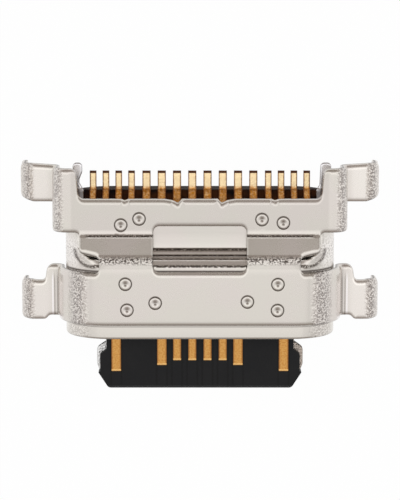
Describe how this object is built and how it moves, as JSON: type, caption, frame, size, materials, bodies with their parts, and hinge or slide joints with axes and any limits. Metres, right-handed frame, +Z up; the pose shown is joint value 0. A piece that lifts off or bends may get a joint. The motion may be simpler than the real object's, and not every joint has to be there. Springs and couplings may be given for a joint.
{
  "type": "charging port",
  "caption": "Charging receptacle that sinks into a board cut-out: round-sided plug mouth, contact tongue, formed sheet cover, solder legs and a row of tails.",
  "frame": {"origin": "middle of the plug mouth, on the front edge of the inner shell", "axes": "+X across the mouth, +Y from the mouth to the solder tails, +Z up, away from the side that sinks through the board"},
  "size_m": [0.0118, 0.0074, 0.0032],
  "materials": {
    "shell_nickel": "bright nickel plate over rolled steel sheet",
    "cover_nickel": "satin nickel plate, grained where the sheet is bent",
    "plate_steel": "plain bright sheet",
    "contact_gold": "gold flash over copper alloy",
    "black_resin": "moulded glass-filled resin, satin"
  },
  "bodies": {
    "root": {"inner_shell": "shell_nickel", "outer_cover": "cover_nickel", "mid_plate": "plate_steel", "contact_a1": "contact_gold", "contact_a4": "contact_gold", "contact_a5": "contact_gold", "contact_a6": "contact_gold", "contact_a7": "contact_gold", "contact_a8": "contact_gold", "contact_a9": "contact_gold", "contact_a12": "contact_gold", "contact_b1": "contact_gold", "contact_b4": "contact_gold", "contact_b5": "contact_gold", "contact_b6": "contact_gold", "contact_b7": "contact_gold", "contact_b8": "contact_gold", "contact_b9": "contact_gold", "contact_b12": "contact_gold", "upper_block": "black_resin", "lower_block": "black_resin", "tongue_body": "black_resin"}
  },
  "joints": []
}
